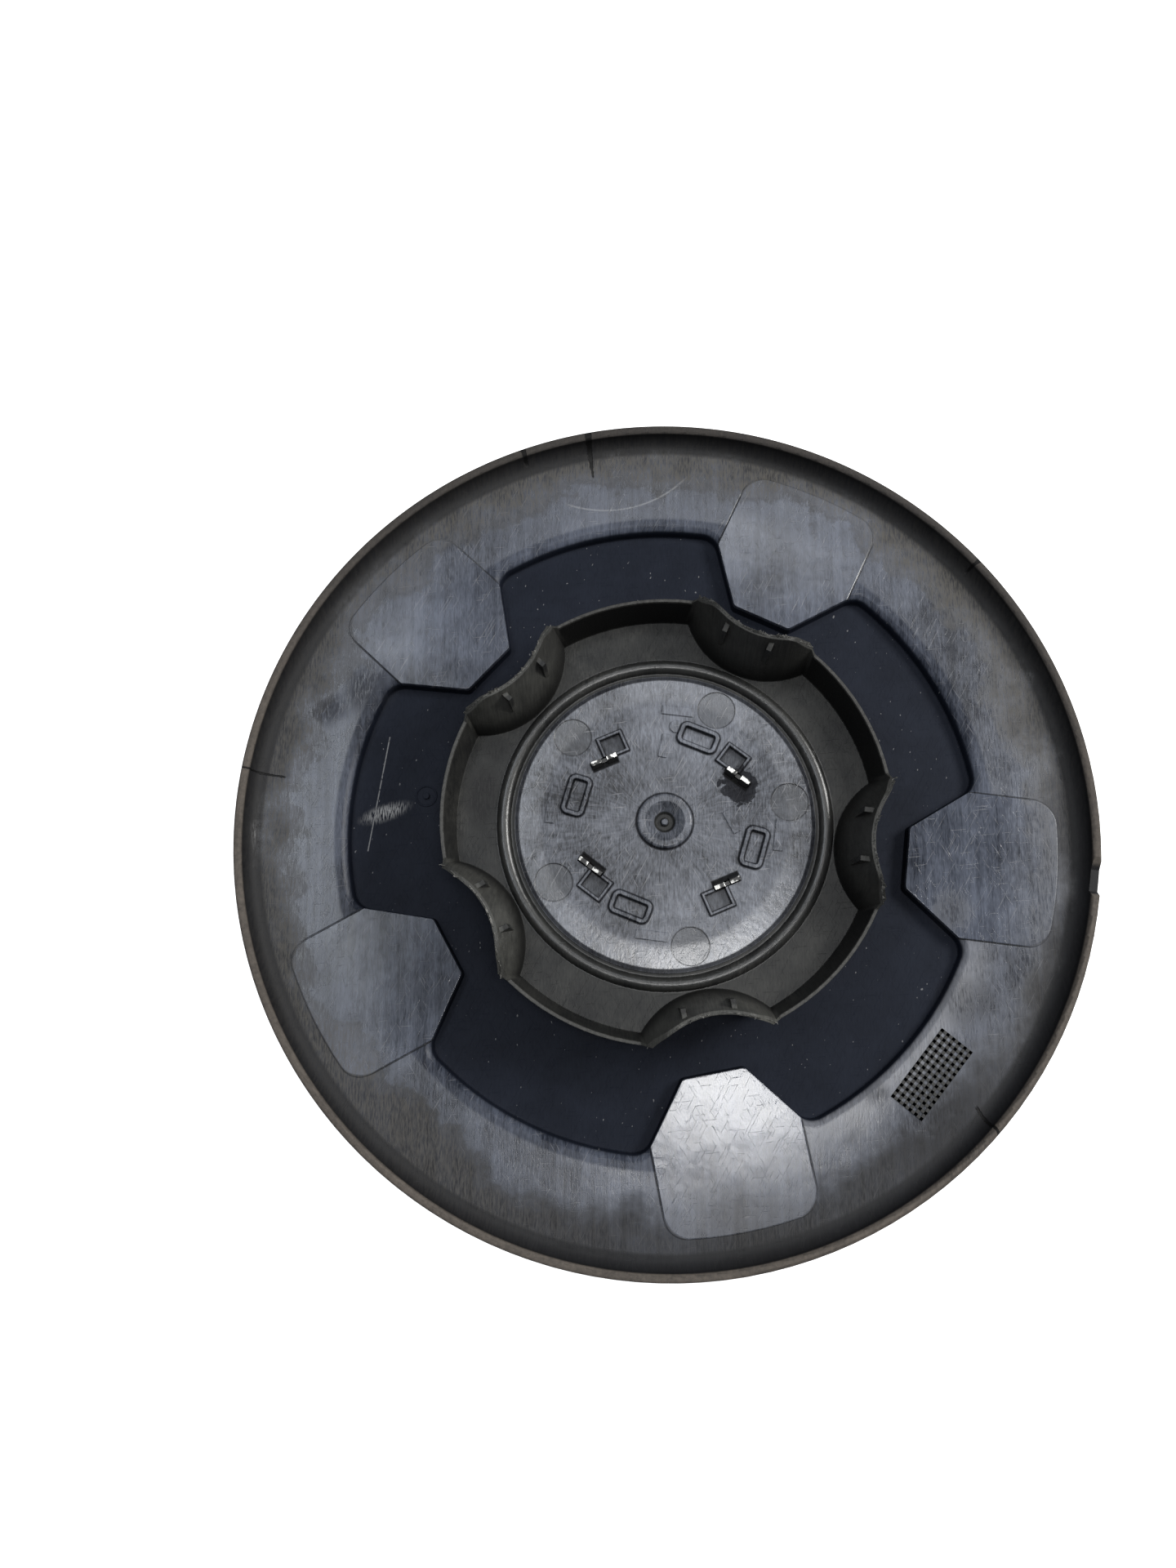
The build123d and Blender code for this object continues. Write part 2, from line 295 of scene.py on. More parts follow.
    def finish(self, colour, roughness, height, metallic=0.0, specular=0.5, distance=0.0001, edge=0.0004):
        """Links the surface up, with bump on top of softened edges; distance and edge are in metres."""
        shader = self.node("ShaderNodeBsdfPrincipled")
        self.put(shader.inputs["Base Color"], colour)
        self.put(shader.inputs["Roughness"], roughness)
        self.put(shader.inputs["Metallic"], metallic)
        self.put(shader.inputs["Specular IOR Level"], specular)
        bevel = self.node("ShaderNodeBevel", samples=4)
        self.put(bevel.inputs["Radius"], edge)
        bump = self.node("ShaderNodeBump")
        self.put(bump.inputs["Strength"], 0.6)
        self.put(bump.inputs["Distance"], distance)
        self.put(bump.inputs["Height"], height)
        self.put(bump.inputs["Normal"], bevel.outputs[0])
        self.put(shader.inputs["Normal"], bump.outputs[0])
        output = self.node("ShaderNodeOutputMaterial")
        self.put(output.inputs["Surface"], shader.outputs[0])
        return self.material


def cover_noises(g):
    """The noises that the cover's marks, colours and finish share."""
    return SimpleNamespace(
        cloud=g.noise(g.where, 0.035, 4.0, 0.6),
        patch=g.noise(g.where, 0.11, 4.0, 0.62),
        blot=g.noise(g.vector(g.x, g.y, 40.0), 0.06, 5.0, 0.65),
        grit=g.noise(g.where, 0.9, 4.0, 0.65),
        grain=g.noise(g.where, 5.0, 2.0, 0.5),
        stroke=g.strokes(STROKE_ANGLE, 2.6, 0.42, 3.1),
        long_stroke=g.strokes(STROKE_ANGLE, 30.0, 1.6, 7.7),
    )


def cover_zones(g):
    """Masks that are 1 on the surface they name."""
    on = SimpleNamespace()
    on.ring = g.mul(g.past(g.z, RING_HEIGHT - 1.5, 1.2), g.past(g.radius, HUB_RADIUS, 0.6))
    on.hub = g.mul(g.past(g.z, HUB_START, 0.65), g.under(g.radius, HUB_RADIUS, 0.6))
    on.sunken = g.flip(g.top(on.ring, on.hub))
    on.disc = g.mul(g.past(g.z, FLOOR_HEIGHT - 0.4, 0.3), g.under(g.radius, DISC_RADIUS, 0.3))
    on.bead = g.mul(on.hub, g.band(g.radius, BEAD_RADIUS, BEAD_HALF_WIDTH, 0.4), g.under(g.z, BEAD_TOP, 0.3))
    on.rim = g.past(g.radius, RIM_RADIUS, 1.4)
    on.edge = g.mul(g.past(g.z, RIM_EDGE_HEIGHT, 1.0), g.past(g.radius, RIM_EDGE_RADIUS, 0.6))
    front_step = g.mul(g.past(g.radius, FRONT_STEP_RADIUS, 1.0), FRONT_STEP)
    on.front = g.under(g.sub(g.z, front_step), FRONT_HEIGHT, 0.15)
    return on


def petal_zones(g, on):
    """Adds the petals around the leaning bolt pockets, the hub wall between them and the wall's lip."""
    rise = math.tan(POCKET_LEAN)
    axis = g.add(POCKET_CENTRE - FLOOR_HEIGHT * rise, g.mul(g.z, rise))
    pocket_gap = g.length(g.mul(g.sub(g.out, axis), math.cos(POCKET_LEAN)), g.side)
    on.petal = g.mul(on.hub, g.past(g.z, FLOOR_HEIGHT + 0.2, 0.4), g.under(pocket_gap, PETAL_RADIUS, 0.6))
    wall_radius = g.add(WALL_RADIUS, g.mul(g.sub(g.z, FLOOR_HEIGHT), WALL_FLARE))
    past_floor = g.past(g.sub(g.radius, wall_radius), 0.4, 0.6)
    on.wall = g.mul(on.hub, g.past(g.z, FLOOR_HEIGHT + 0.2, 0.6), past_floor, g.flip(on.petal))
    on.lip = g.mul(on.wall, g.past(g.z, LIP_HEIGHT, 0.4))


def pad_zones(g, on):
    """Adds the pads, the fine line around each of them and the lobes' edges beside them."""
    gap = g.boxed(g.radius, g.side, PAD_OUTER_RADIUS, PAD_HALF_WIDTH, PAD_CORNER)
    on.pad = g.mul(on.ring, g.under(gap, -0.2, 0.3))
    fading = g.mul(g.step(g.out, 79.0, 80.5), g.step(g.out, 94.0, 104.0, 1.0, 0.35))
    on.pad_line = g.mul(on.ring, g.band(gap, 0.05, 0.1, 0.25), fading)
    on.lobe_edge = g.mul(g.band(g.radius, LOBE_RADIUS, 2.5, 1.0), g.flip(on.pad))


def smudges(g, noises):
    """Dark smudges on the ring and on the band around the disc, broken up into strokes."""
    spots = g.top(
        g.spot((-86.5, 30.5), 2.0, 7.0, 60.0, 1.3),
        g.spot((-97.5, 22.0), 1.0, 6.0, 20.0, 1.4),
        g.spot((84.0, -36.5), 2.0, 7.0),
        g.spot((63.5, -63.0), 0.5, 4.0),
        g.spot((80.0, -69.0), 4.0, 14.0, 40.0, 1.2),
        g.spot((79.0, -13.0), 1.5, 6.0),
        g.spot((-49.0, 1.0), 2.0, 4.0, 90.0, 2.0),
        g.spot((-47.0, 14.0), 1.0, 4.0, 90.0, 1.2),
    )
    return g.mul(spots, g.step(g.add(g.mul(noises.patch, 0.5), noises.stroke), 0.55, 0.95))


def cover_dirt_and_darkening(g, on, noises):
    """Dust gathers at the foot of the rim, most of all on the far and the left side; the ring also grows
    darker towards the rim, sooner on the near side.
    """
    dirt_and_darkening = SimpleNamespace()
    dirt_and_darkening.far = g.step(g.facing(FAR_ANGLE), -0.3, 0.9)
    left = g.step(g.facing(0.0), 0.4, -0.7)
    near = g.step(g.facing(90.0), -0.25, -0.7)
    uneven = g.tone(g.radius, (noises.blot, 30.0), (noises.stroke, 7.0))
    foot = g.step(g.add(uneven, g.mul(near, 5.0)), 99.0, 111.0)
    dirt_and_darkening.grime = g.mul(on.ring, foot, g.flip(g.mul(on.pad, 0.85)))
    dusty_side = g.top(dirt_and_darkening.far, g.mul(left, 0.8), 0.25)
    dirt_and_darkening.dust = g.mul(on.ring, g.step(uneven, 97.0, 106.0), g.step(noises.stroke, 0.3, 0.7), dusty_side)
    dirt_and_darkening.water_mark = g.mul(on.ring, g.band(uneven, 100.5, 0.4, 1.4), g.top(dirt_and_darkening.far, left))
    dirt_and_darkening.smudge = smudges(g, noises)
    return dirt_and_darkening


def fine_scratches(g):
    """Fine scratches in three directions."""
    return g.top(
        g.scratches(68.0, 10.0, 2.6, 0.66, 1.0),
        g.scratches(12.0, 7.0, 2.2, 0.69, 5.0),
        g.scratches(128.0, 6.0, 2.8, 0.68, 9.0),
    )


def scuffs(g, on, noises):
    """A curved scratch on the far side of the ring; a long one, a scuff and nicks in the sunken ring."""
    broken = g.step(noises.grit, 0.3, 0.5)
    bow_centre = (-31.0, 122.0)
    bow_radius = 32.2
    bow = g.length(g.sub(g.x, bow_centre[0]), g.sub(g.y, bow_centre[1]))
    bow_part = g.mul(g.band(g.x, -22.0, 14.0, 4.0), g.under(g.y, 110.0, 2.0))
    curved = g.mul(on.ring, g.band(bow, bow_radius, 0.1, 0.3), bow_part, broken)
    straight = g.mul(g.line((-79.1, 16.9), (-80.0, -15.7), 0.05, 0.2), broken)
    scuff_strokes = g.step(g.strokes(95.0, 2.2, 0.3, 2.0), 0.42, 0.56)
    scuff = g.mul(g.spot((-77.0, -4.6), 0.4, 2.6, 26.0, 3.0), scuff_strokes)
    nicks = g.scratches(84.0, 1.5, 1.1, 0.745, 15.0)
    in_sunken = g.top(g.mul(straight, 0.55), g.mul(scuff, 0.9), g.mul(nicks, 0.35))
    return g.top(g.mul(curved, 0.28), g.mul(on.sunken, in_sunken))


def crack(g, noises, degrees, inner, lean, half, widen):
    """A ragged crack in from the rim: half is half its width at the inner end."""
    run, off = g.turned(g.x, g.y, degrees)
    past = g.sub(run, inner)
    off = g.add(off, g.tone(g.mul(past, lean), (noises.grit, 0.9)))
    gap = g.sub(g.math("ABSOLUTE", off), g.add(half, g.mul(past, widen)))
    return g.mul(g.under(gap, 0.0, 0.25), g.step(past, -0.5, 0.5), g.past(g.radius, HUB_RADIUS, 1.0))


def cracks(g, noises):
    """All the cracks."""
    return g.top(
        crack(g, noises, degrees=107.7, inner=104.8, lean=0.05, half=0.1, widen=0.07),
        crack(g, noises, degrees=179.3, inner=105.4, lean=0.02, half=0.12, widen=0.0),
        crack(g, noises, degrees=324.6, inner=109.0, lean=0.3, half=0.3, widen=0.0),
        crack(g, noises, degrees=117.0, inner=112.8, lean=0.0, half=0.3, widen=0.15),
        crack(g, noises, degrees=47.3, inner=112.6, lean=0.1, half=0.2, widen=0.1),
    )


def cover_wear_and_sheen(g, on, noises):
    """Scratches, scuffs, cracks, and a painted highlight: a lighter sheen near the lobe edges on one side of
    the ring.
    """
    wear_and_sheen = SimpleNamespace()
    wear_and_sheen.fine = fine_scratches(g)
    wear_and_sheen.scuff = scuffs(g, on, noises)
    wear_and_sheen.cracks = cracks(g, noises)
    # Painted highlight: the side of the ring, and the reach from the lobe edges, where a lighter sheen is
    # painted on.
    wear_and_sheen.rubbed_side = g.step(g.facing(SHEEN_ANGLE), 0.78, 0.95)
    rubbed = g.mul(g.under(g.radius, LOBE_RADIUS + 1.0, 9.0), g.tone(0.6, (noises.stroke, 1.0)))
    wear_and_sheen.polish = g.mul(wear_and_sheen.rubbed_side, rubbed, g.flip(on.pad))
    return wear_and_sheen


def dark_film(g):
    """A dark film with a ragged outline around one hook."""
    centre = (18.5, 12.2)
    ragged = g.mul(g.sub(g.noise(g.where, 0.35, 4.0, 0.6), 0.5), 9.0)
    reach = g.length(g.sub(g.x, centre[0]), g.sub(g.y, centre[1]))
    return g.under(g.sub(reach, ragged), 4.6, 0.4)


def hook_slot_shade(g):
    """Painted shade: black in the four hook slots."""
    along, across = g.from_quarters(HOOK_PLACE, HOOK_TURN)
    return g.mul(g.band(along, 0.0, HOOK_HALF_LENGTH, 0.6), g.band(across, 0.0, HOOK_HALF_WIDTH, 0.5))


def disc_seams(g, window_gap):
    """Dark seams around the gate boss, the disc, the windows and the blank clip frames."""
    seams = [
        g.band(g.radius, GATE_RADIUS, 0.12, 0.35),
        g.band(g.radius, DISC_SEAM_RADIUS, 0.3, 0.5),
        g.band(window_gap, 0.1, 0.1, 0.3),
        g.band(window_gap, -0.85, 0.1, 0.25),
    ]
    for degrees in CLIP_ANGLES:
        along, across = g.turned(g.x, g.y, degrees)
        clip_gap = g.boxed(g.sub(along, CLIP_DISTANCE), across, *CLIP_HALF, CLIP_CORNER)
        seams.append(g.band(clip_gap, 0.1, 0.1, 0.35))
        seams.append(g.band(clip_gap, -1.35, 0.12, 0.3))
    return g.top(*seams)


def pin_marks(g):
    """Round marks of the ejector pins on the disc, and their rims."""
    marks = []
    rims = []
    for degrees in PIN_ANGLES:
        turn = math.radians(degrees)
        centre = (PIN_DISTANCE * math.cos(turn), PIN_DISTANCE * math.sin(turn))
        marks.append(g.spot(centre, PIN_RADIUS, 0.3))
        rims.append(g.sub(g.spot(centre, PIN_RADIUS + 0.2, 0.4), g.spot(centre, PIN_RADIUS - 0.2, 0.4)))
    return g.top(*marks), g.top(*rims)


def disc_marks(g, on):
    """What lies or is moulded on the disc, and painted shade in the hook slots."""
    window_along, window_across = g.from_quarters(WINDOW_PLACE, HOOK_TURN)
    window_gap = g.boxed(window_along, window_across, *WINDOW_HALF, WINDOW_CORNER)
    marks = SimpleNamespace()
    marks.film = g.mul(on.disc, dark_film(g))
    marks.slots = g.mul(on.disc, hook_slot_shade(g))
    marks.windows = g.mul(on.disc, g.under(window_gap, -1.0, 0.2))
    marks.seams = g.mul(on.disc, disc_seams(g, window_gap))
    marks.pins, marks.pin_rims = pin_marks(g)
    return marks


def sunken_colour(g, noises):
    """Matt blue-black of the sunken ring."""
    tone = g.tone(0.45, (noises.patch, 0.9), (noises.stroke, 0.7), (noises.cloud, 0.6))
    return g.mix(tone, (0.0035, 0.0050, 0.0098), (0.0120, 0.0152, 0.0250))


def petal_colour(g, noises, shaded):
    """Dusty petals with painted shade: black at the root and darker on the side away from the light."""
    tone = g.tone(0.5, (noises.stroke, 1.4), (noises.patch, 1.4))
    colour = g.mix(tone, (0.020, 0.020, 0.019), (0.075, 0.075, 0.068))
    # Painted shade on the side of the petals away from the light.
    colour = g.paint(colour, shaded, 0.6, (0.010, 0.010, 0.010))
    # Painted shade: black at the petals' root, fading out upward.
    return g.mix(g.step(g.z, FLOOR_HEIGHT + 1.0, FLOOR_HEIGHT + 11.0, 0.9, 0.0), colour, BLACK)


def hub_colour(g, on, noises):
    """Smeared black hub with its petals, painted shade on the walls, darkest on the side away from the
    light, and a painted highlight on the lip.
    """
    tone = g.tone(0.42, (noises.patch, 1.9), (noises.stroke, 1.5), (noises.cloud, 0.8))
    smear = g.mul(g.step(noises.blot, 0.54, 0.66), g.step(noises.stroke, 0.35, 0.65))
    # The side of the hub turned away from the light; it sets where painted shade falls.
    shaded = g.step(g.facing(SHADED_ANGLE), -0.3, 0.5)
    colour = g.mix(tone, (0.0070, 0.0074, 0.0078), (0.0270, 0.0270, 0.0250))
    colour = g.paint(colour, smear, 0.45, (0.050, 0.049, 0.045))
    colour = g.mix(on.petal, colour, petal_colour(g, noises, shaded))
    # Painted shade: the walls darkened towards black, most of all on the side away from the light.
    colour = g.paint(colour, on.wall, g.add(0.2, g.mul(shaded, 0.75)), BLACK)
    # Painted highlight: the lip made paler, as if its edge caught the light.
    return g.paint(colour, on.lip, g.tone(0.35, (noises.grit, 1.0)), (0.10, 0.098, 0.092))


def disc_colour(g, noises, wear_and_sheen, marks):
    """Scratched disc with fine radial streaks, its marks and painted shade in the hook slots."""
    radial = g.noise(g.vector(g.mul(g.angle, 26.0), g.mul(g.radius, 0.22), 1.0), 1.0, 3.0, 0.65)
    coarse = g.tone(0.46, (noises.patch, 0.8), (noises.stroke, 1.3), (noises.cloud, 1.8))
    tone = g.tone(coarse, (radial, 1.0), (noises.grit, 0.5))
    colour = g.mix(tone, (0.010, 0.0115, 0.0150), (0.165, 0.176, 0.205))
    colour = g.paint(colour, marks.pins, 0.6, (0.050, 0.053, 0.058))
    colour = g.paint(colour, marks.pin_rims, 0.6, (0.010, 0.010, 0.011))
    colour = g.paint(colour, wear_and_sheen.fine, 0.45, SCRATCH_GREY)
    colour = g.paint(colour, marks.film, 0.85, (0.010, 0.010, 0.012))
    # Painted shade in the hook slots.
    colour = g.paint(colour, marks.slots, 0.95, (0.002, 0.002, 0.002))
    colour = g.paint(colour, marks.windows, 0.45, (0.020, 0.021, 0.024))
    return g.paint(colour, marks.seams, 0.8, (0.004, 0.004, 0.005))


def ring_colour(g, on, noises, dirt_and_darkening, wear_and_sheen):
    """Satin ring with its dust and water mark, darker towards the rim, with a painted highlight on one side,
    painted shade on the rim and a scraped rim edge.
    """
    middle = g.add(0.36, g.mul(on.pad, 0.08))
    coarse = g.tone(middle, (noises.patch, 0.8), (noises.cloud, 1.6))
    tone = g.tone(coarse, (noises.stroke, 1.2), (noises.long_stroke, 1.0))
    colour = g.mix(tone, (0.014, 0.0165, 0.024), (0.100, 0.112, 0.145))
    colour = g.paint(colour, wear_and_sheen.fine, 0.22, SCRATCH_GREY)
    # Painted highlight: a lighter sheen on one side of the ring.
    colour = g.paint(colour, wear_and_sheen.polish, 0.5, (0.30, 0.30, 0.31))
    colour = g.paint(colour, dirt_and_darkening.grime, 0.66, (0.018, 0.017, 0.016))
    colour = g.paint(colour, dirt_and_darkening.dust, 0.7, (0.100, 0.092, 0.078))
    colour = g.paint(colour, dirt_and_darkening.water_mark, 0.4, (0.020, 0.019, 0.018))
    # Painted shade: everything past the foot of the rim, its fillet and inner wall, made near black.
    colour = g.paint(colour, on.rim, 0.85, (0.010, 0.010, 0.011))
    scraped = g.mul(g.tone(0.55, (noises.grit, 0.8), (noises.blot, 0.6)), g.flip(g.mul(dirt_and_darkening.far, 0.7)))
    colour = g.paint(colour, on.edge, scraped, (0.150, 0.128, 0.108))
    return g.paint(colour, on.pad_line, 0.8, (0.008, 0.008, 0.009))


def cover_colour(g, on, noises, dirt_and_darkening, wear_and_sheen, marks):
    colour = g.mix(on.hub, sunken_colour(g, noises), hub_colour(g, on, noises))
    colour = g.mix(on.disc, colour, disc_colour(g, noises, wear_and_sheen, marks))
    colour = g.mix(on.ring, colour, ring_colour(g, on, noises, dirt_and_darkening, wear_and_sheen))
    colour = g.paint(colour, dirt_and_darkening.smudge, 0.72, (0.016, 0.016, 0.018))
    colour = g.mix(on.front, colour, (0.016, 0.0165, 0.018))
    colour = g.paint(colour, wear_and_sheen.scuff, 0.8, (0.42, 0.42, 0.42))
    return g.paint(colour, wear_and_sheen.cracks, 0.95, BLACK)


def cover_roughness(g, on, noises, dirt_and_darkening):
    rough = g.blend(on.hub, 0.62, 0.48)
    rough = g.blend(on.disc, rough, g.tone(0.26, (noises.patch, 0.2), (noises.stroke, 0.15)))
    rough = g.blend(on.bead, rough, 0.3)
    rough = g.blend(on.ring, rough, g.tone(0.30, (noises.stroke, 0.22), (noises.patch, 0.2)))
    rough = g.blend(g.mul(on.pad, g.step(g.out, 88.0, 98.0, 0.8, 0.1)), rough, 0.13)
    rough = g.blend(g.top(dirt_and_darkening.dust, g.mul(dirt_and_darkening.grime, 0.6), dirt_and_darkening.smudge), rough, 0.8)
    return g.blend(on.edge, rough, 0.75)


def cover_shine(g, on, dirt_and_darkening, wear_and_sheen, marks):
    """Level of the clear reflections, low where the plastic is matt or dirty, where it darkens towards the
    rim and in the painted shade of the hook slots.
    """
    shine = g.blend(on.hub, 0.11, 0.24)
    shine = g.blend(on.disc, shine, g.step(g.radius, 32.0, 34.0, 0.3, 0.8))
    shine = g.blend(on.bead, shine, 0.55)
    shine = g.blend(on.ring, shine, 0.5)
    shine = g.blend(g.mul(on.lobe_edge, g.flip(wear_and_sheen.rubbed_side)), shine, 0.12)
    shine = g.blend(g.top(dirt_and_darkening.dust, dirt_and_darkening.grime, dirt_and_darkening.smudge), shine, 0.2)
    return g.blend(g.top(marks.seams, marks.slots, marks.film, g.mul(marks.windows, 0.6)), shine, 0.04)


def cover_height(g, on, noises, wear_and_sheen):
    """Bump height: waves on the ring, grit on the hub, a falling edge on the disc, and the marks."""
    ripple = g.add(g.mul(noises.stroke, 0.5), g.mul(noises.patch, 1.2))
    ring = g.add(g.mul(noises.cloud, 3.0), g.mul(g.blend(on.pad, 1.0, 0.08), ripple))
    waves = g.add(g.mul(noises.patch, 1.6), g.mul(noises.stroke, 0.25))
    fall = g.math("POWER", g.top(g.sub(g.radius, 32.5), 0.0), 1.6)
    disc = g.sub(g.add(waves, g.mul(noises.grit, 0.2)), g.mul(fall, 0.2))
    height = g.mul(noises.grain, 0.15)
    height = g.add(height, g.mul(on.ring, ring))
    height = g.add(height, g.mul(on.hub, noises.grit, 0.6))
    height = g.add(height, g.mul(on.disc, disc))
    height = g.sub(height, g.mul(wear_and_sheen.fine, 0.5))
    height = g.sub(height, g.mul(on.pad_line, 1.5))
    height = g.sub(height, g.mul(wear_and_sheen.cracks, 5.0))
    return g.add(height, g.mul(wear_and_sheen.scuff, 0.8))


def cover_material():
    """Worn black moulding: satin ring, matt sunken ring, dusty crown and scratched disc."""
    g = Graph("cover_plastic")
    g.place()
    g.fold()
    noises = cover_noises(g)
    on = cover_zones(g)
    petal_zones(g, on)
    pad_zones(g, on)
    dirt_and_darkening = cover_dirt_and_darkening(g, on, noises)
    wear_and_sheen = cover_wear_and_sheen(g, on, noises)
    marks = disc_marks(g, on)
    colour = cover_colour(g, on, noises, dirt_and_darkening, wear_and_sheen, marks)
    rough = cover_roughness(g, on, noises, dirt_and_darkening)
    shine = cover_shine(g, on, dirt_and_darkening, wear_and_sheen, marks)
    height = cover_height(g, on, noises, wear_and_sheen)
    edge = g.add(0.0003, g.mul(on.lobe_edge, 0.0007))
    return g.finish(colour, rough, height, specular=shine, edge=edge)


def insert_material():
    """Black gloss insert whose hook crests carry a painted highlight."""
    g = Graph("insert_plastic")
    g.place()
    patch = g.noise(g.where, 0.2, 4.0, 0.6)
    grit = g.noise(g.where, 0.5, 2.0, 0.5)
    # Painted highlight: a bright, metallic zone on the hook crests.
    crest_highlight = g.mul(g.past(g.z, HOOK_CREST, 0.15), g.step(grit, 0.45, 0.55))
    colour = g.mix(g.step(patch, 0.4, 0.7), (0.006, 0.006, 0.006), (0.014, 0.014, 0.014))
    colour = g.mix(crest_highlight, colour, (0.60, 0.60, 0.58))
    rough = g.blend(crest_highlight, g.add(0.2, g.mul(patch, 0.2)), 0.2)
    return g.finish(colour, rough, grit, metallic=g.mul(crest_highlight, 0.8), distance=0.00003, edge=0.0002)


def flash_material():
    """Thin torn plastic, paler where it is stretched."""
    g = Graph("torn_flash")
    g.place()
    grit = g.noise(g.where, 0.8, 3.0, 0.6)
    colour = g.mix(g.step(grit, 0.4, 0.7), (0.045, 0.045, 0.042), (0.190, 0.186, 0.175))
    return g.finish(colour, 0.5, grit, distance=0.00005, edge=0.0001)


def dark_mark_material():
    """Darker, cleaner plastic."""
    g = Graph("dark_mark")
    g.place()
    grit = g.noise(g.where, 0.9, 3.0, 0.6)
    colour = g.mix(g.step(grit, 0.4, 0.7), BLACK, (0.009, 0.009, 0.009))
    return g.finish(colour, 0.55, grit, distance=0.00003, edge=0.0001)


def floor_material():
    """Pale floor that reads white to the camera and still takes the object's shadow."""
    g = Graph("pale_floor")
    rays = g.node("ShaderNodeLightPath")
    diffuse = g.node("ShaderNodeBsdfDiffuse")
    g.put(diffuse.inputs["Color"], (0.82, 0.82, 0.82, 1.0))
    glow = g.node("ShaderNodeEmission")
    g.put(glow.inputs["Color"], (1.0, 1.0, 1.0, 1.0))
    g.put(glow.inputs["Strength"], 0.85)
    both = g.node("ShaderNodeAddShader")
    g.put(both.inputs[0], diffuse.outputs[0])
    g.put(both.inputs[1], glow.outputs[0])
    pick = g.node("ShaderNodeMixShader")
    g.put(pick.inputs[0], rays.outputs["Is Camera Ray"])
    g.put(pick.inputs[1], diffuse.outputs[0])
    g.put(pick.inputs[2], both.outputs[0])
    output = g.node("ShaderNodeOutputMaterial")
    g.put(output.inputs["Surface"], pick.outputs[0])
    return g.material


def dress_nodes():
    """Gives the CAD nodes their materials."""
    dresses = {"cover": cover_material(), "centre_insert": insert_material()}
    for name, material in dresses.items():
        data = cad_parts[name].data
        data.materials.clear()
        data.materials.append(material)


def mesh_piece(name, vertices, faces, material):
    """An added piece of the cover from points in millimetres."""
    data = bpy.data.meshes.new(name)
    data.from_pydata([(a * MM, b * MM, c * MM) for a, b, c in vertices], [], faces)
    data.materials.append(material)
    made = bpy.data.objects.new(name, data)
    scene.collection.objects.link(made)
    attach(made, "root")
    return made


def petal_point(lateral, height, radius):
    """A point on the leaning cylinder of the petal on +X."""
    axis = POCKET_CENTRE + (height - FLOOR_HEIGHT) * math.tan(POCKET_LEAN)
    return (axis - math.sqrt(radius**2 - lateral**2) / math.cos(POCKET_LEAN), lateral, height)


def petal_edge(lateral):
    """Height of a petal's top edge: flat, then a round shoulder, then a straight side."""
    across = abs(lateral)
    if across < PETAL_FLAT:
        return PETAL_HEIGHT
    if across < PETAL_SHOULDER:
        share = (across - PETAL_FLAT) / (PETAL_SHOULDER - PETAL_FLAT)
        return PETAL_HEIGHT - PETAL_SHOULDER_DROP * share**2
    return PETAL_HEIGHT - PETAL_SHOULDER_DROP - (across - PETAL_SHOULDER) * PETAL_SIDE_SLOPE


def torn_flash(index, material):
    """Ragged thin flash along one petal's top edge."""
    rng = random.Random(40 + index)
    steps = 110
    half_length = 16.4
    skin_radius = 22.45
    root_depth = 0.4
    thickness = 0.2
    rise = 0.2
    vertices = []
    faces = []
    for count in range(steps + 1):
        lateral = -half_length + 2 * half_length * count / steps
        if rng.random() < 0.3:
            rise = rng.choice((0.05, 0.1, 0.2, 0.3, 0.5, 0.7, 1.0))
        height = petal_edge(lateral)
        tall = rise * (0.6 + 0.6 * rng.random())
        curl = 0.6 * rng.random() * tall
        sway = 0.2 * (rng.random() - 0.5)
        root_x, root_y, root_z = petal_point(lateral, height - root_depth, skin_radius)
        tip_x, tip_y, tip_z = petal_point(lateral, height + tall, skin_radius)
        vertices.append((root_x, root_y, root_z))
        vertices.append((tip_x + curl, tip_y + sway, tip_z))
        vertices.append((root_x - thickness, root_y, root_z))
    for count in range(steps):
        a = 3 * count
        b = a + 3
        faces.append((a, b, b + 1, a + 1))
        faces.append((a + 1, b + 1, b + 2, a + 2))
        faces.append((a + 2, b + 2, b, a))
    turn = Matrix.Rotation(index * FIFTH, 3, "Z")
    turned = [tuple(turn @ Vector(vertex)) for vertex in vertices]
    return mesh_piece(f"flash_{index + 1}", turned, faces, material)


def blank_grid(material):
    """Blank moulded grid of low bars on the ring."""
    origin = (67.3, -62.9)
    along = (0.530, 0.848)
    across = (0.848, -0.530)
    columns = 12
    rows = 5
    cell = 1.8
    half = 0.42
    bar_height = 0.32
    sides = ((4, 5, 6, 7), (0, 1, 5, 4), (1, 2, 6, 5), (2, 3, 7, 6), (3, 0, 4, 7), (3, 2, 1, 0))
    vertices = []
    faces = []

    def bar(start_a, start_b, end_a, end_b):
        """A box between two points of the grid, widened by half a bar all round."""
        low_a = start_a - half
        low_b = start_b - half
        high_a = end_a + half
        high_b = end_b + half
        first = len(vertices)
        for level in (RING_HEIGHT, RING_HEIGHT + bar_height):
            for a, b in ((low_a, low_b), (high_a, low_b), (high_a, high_b), (low_a, high_b)):
                place_x = origin[0] + a * along[0] + b * across[0]
                place_y = origin[1] + a * along[1] + b * across[1]
                vertices.append((place_x, place_y, level))
        for side in sides:
            faces.append(tuple(first + corner for corner in side))

    for column in range(columns + 1):
        bar(column * cell, 0.0, column * cell, rows * cell)
    for row in range(rows + 1):
        bar(0.0, row * cell, columns * cell, row * cell)
    return mesh_piece("blank_grid", vertices, faces, material)


